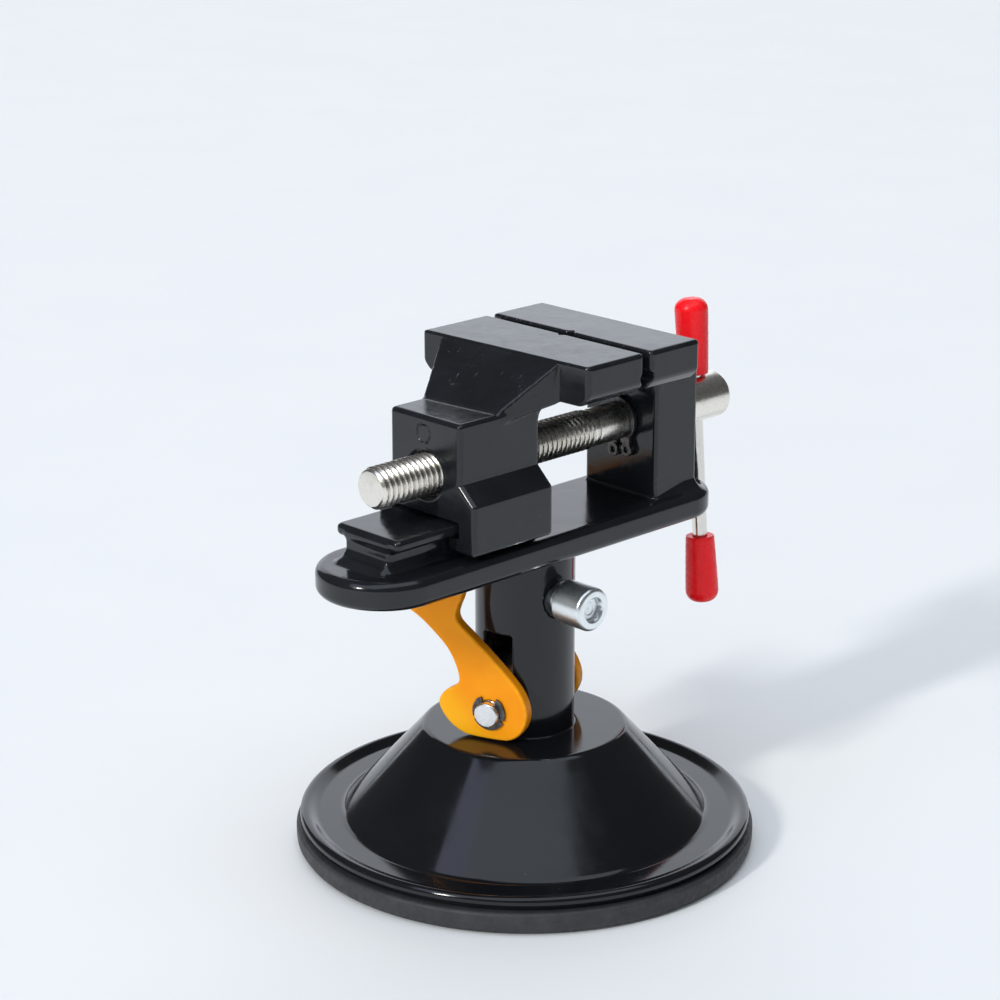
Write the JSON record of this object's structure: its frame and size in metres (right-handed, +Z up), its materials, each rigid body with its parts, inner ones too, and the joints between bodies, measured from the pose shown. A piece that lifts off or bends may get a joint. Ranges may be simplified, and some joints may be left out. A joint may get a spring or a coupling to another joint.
{
  "type": "suction base vise",
  "caption": "Small bench vise on a swivelling head over a lever-locked suction base, with a sliding jaw on a guide rail, a lead screw and a capped sliding handle bar.",
  "frame": {"origin": "centre of the rubber face that sits on the bench", "axes": "+Z up, square to the bench; +X along the lead screw towards its handle; +Y sideways along the jaws"},
  "size_m": [0.1027, 0.09, 0.1008],
  "materials": {
    "rubber": "matt moulded rubber",
    "black_housing": "gloss black",
    "insert_steel": "turned, dark plated",
    "zinc": "bright zinc plated",
    "stud_steel": "turned",
    "pin_steel": "bright zinc plated",
    "clip_black": "phosphated spring steel",
    "lever_orange": "satin orange",
    "body_black": "thick gloss black paint over a casting",
    "jaw_black": "thick gloss black paint over a casting",
    "nickel": "bright nickel plated",
    "nickel_bar": "bright nickel plated",
    "cap_red": "soft dipped vinyl"
  },
  "bodies": {
    "base": {"base_housing": "black_housing", "suction_cup": "rubber", "clamp_insert": "insert_steel"},
    "clamp": {"clamp_screw": "zinc"},
    "puller": {"pull_stud": "stud_steel", "pivot_pin": "pin_steel", "pivot_clips": "clip_black"},
    "lock_lever": {"lever": "lever_orange"},
    "head": {"vise_body": "body_black"},
    "jaw": {"movable_jaw": "jaw_black"},
    "screw": {"lead_screw": "nickel", "screw_circlip": "clip_black"},
    "handle": {"tommy_bar": "nickel_bar", "bar_cap_upper": "cap_red", "bar_cap_lower": "cap_red"}
  },
  "joints": [
    {"name": "head_swivel", "type": "hinge", "parent": "base", "child": "head", "pos_m": [0, 0, 0.06], "axis": [0, 0, 1], "continuous": true},
    {"name": "clamp_turn", "type": "hinge", "parent": "base", "child": "clamp", "pos_m": [0, -0.012, 0.0519], "axis": [0, -1, 0], "range_deg": [0, 720]},
    {"name": "cup_lift", "type": "slide", "parent": "base", "child": "puller", "axis": [0, 0, 1], "range_m": [0, 0.00545], "deforming": ["suction_cup"]},
    {"name": "lever_swing", "type": "hinge", "parent": "puller", "child": "lock_lever", "pos_m": [-0.00038, 0.00112, 0.0302], "axis": [-0.9478, -0.319, 0], "range_deg": [0, 78]},
    {"name": "jaw_slide", "type": "slide", "parent": "head", "child": "jaw", "axis": [-1, 0, 0], "range_m": [-0.00125, 0.02375]},
    {"name": "screw_turn", "type": "hinge", "parent": "head", "child": "screw", "pos_m": [0, 0, 0.0803], "axis": [1, 0, 0], "range_deg": [-360, 6840]},
    {"name": "handle_slide", "type": "slide", "parent": "screw", "child": "handle", "axis": [0, 0.0785, 0.9969], "range_m": [0, 0.0235]}
  ],
  "couplings": [
    {"joint": "lever_swing", "follows": "cup_lift", "rad_per_m": 250},
    {"joint": "screw_turn", "follows": "jaw_slide", "rad_per_m": 5026.5}
  ]
}
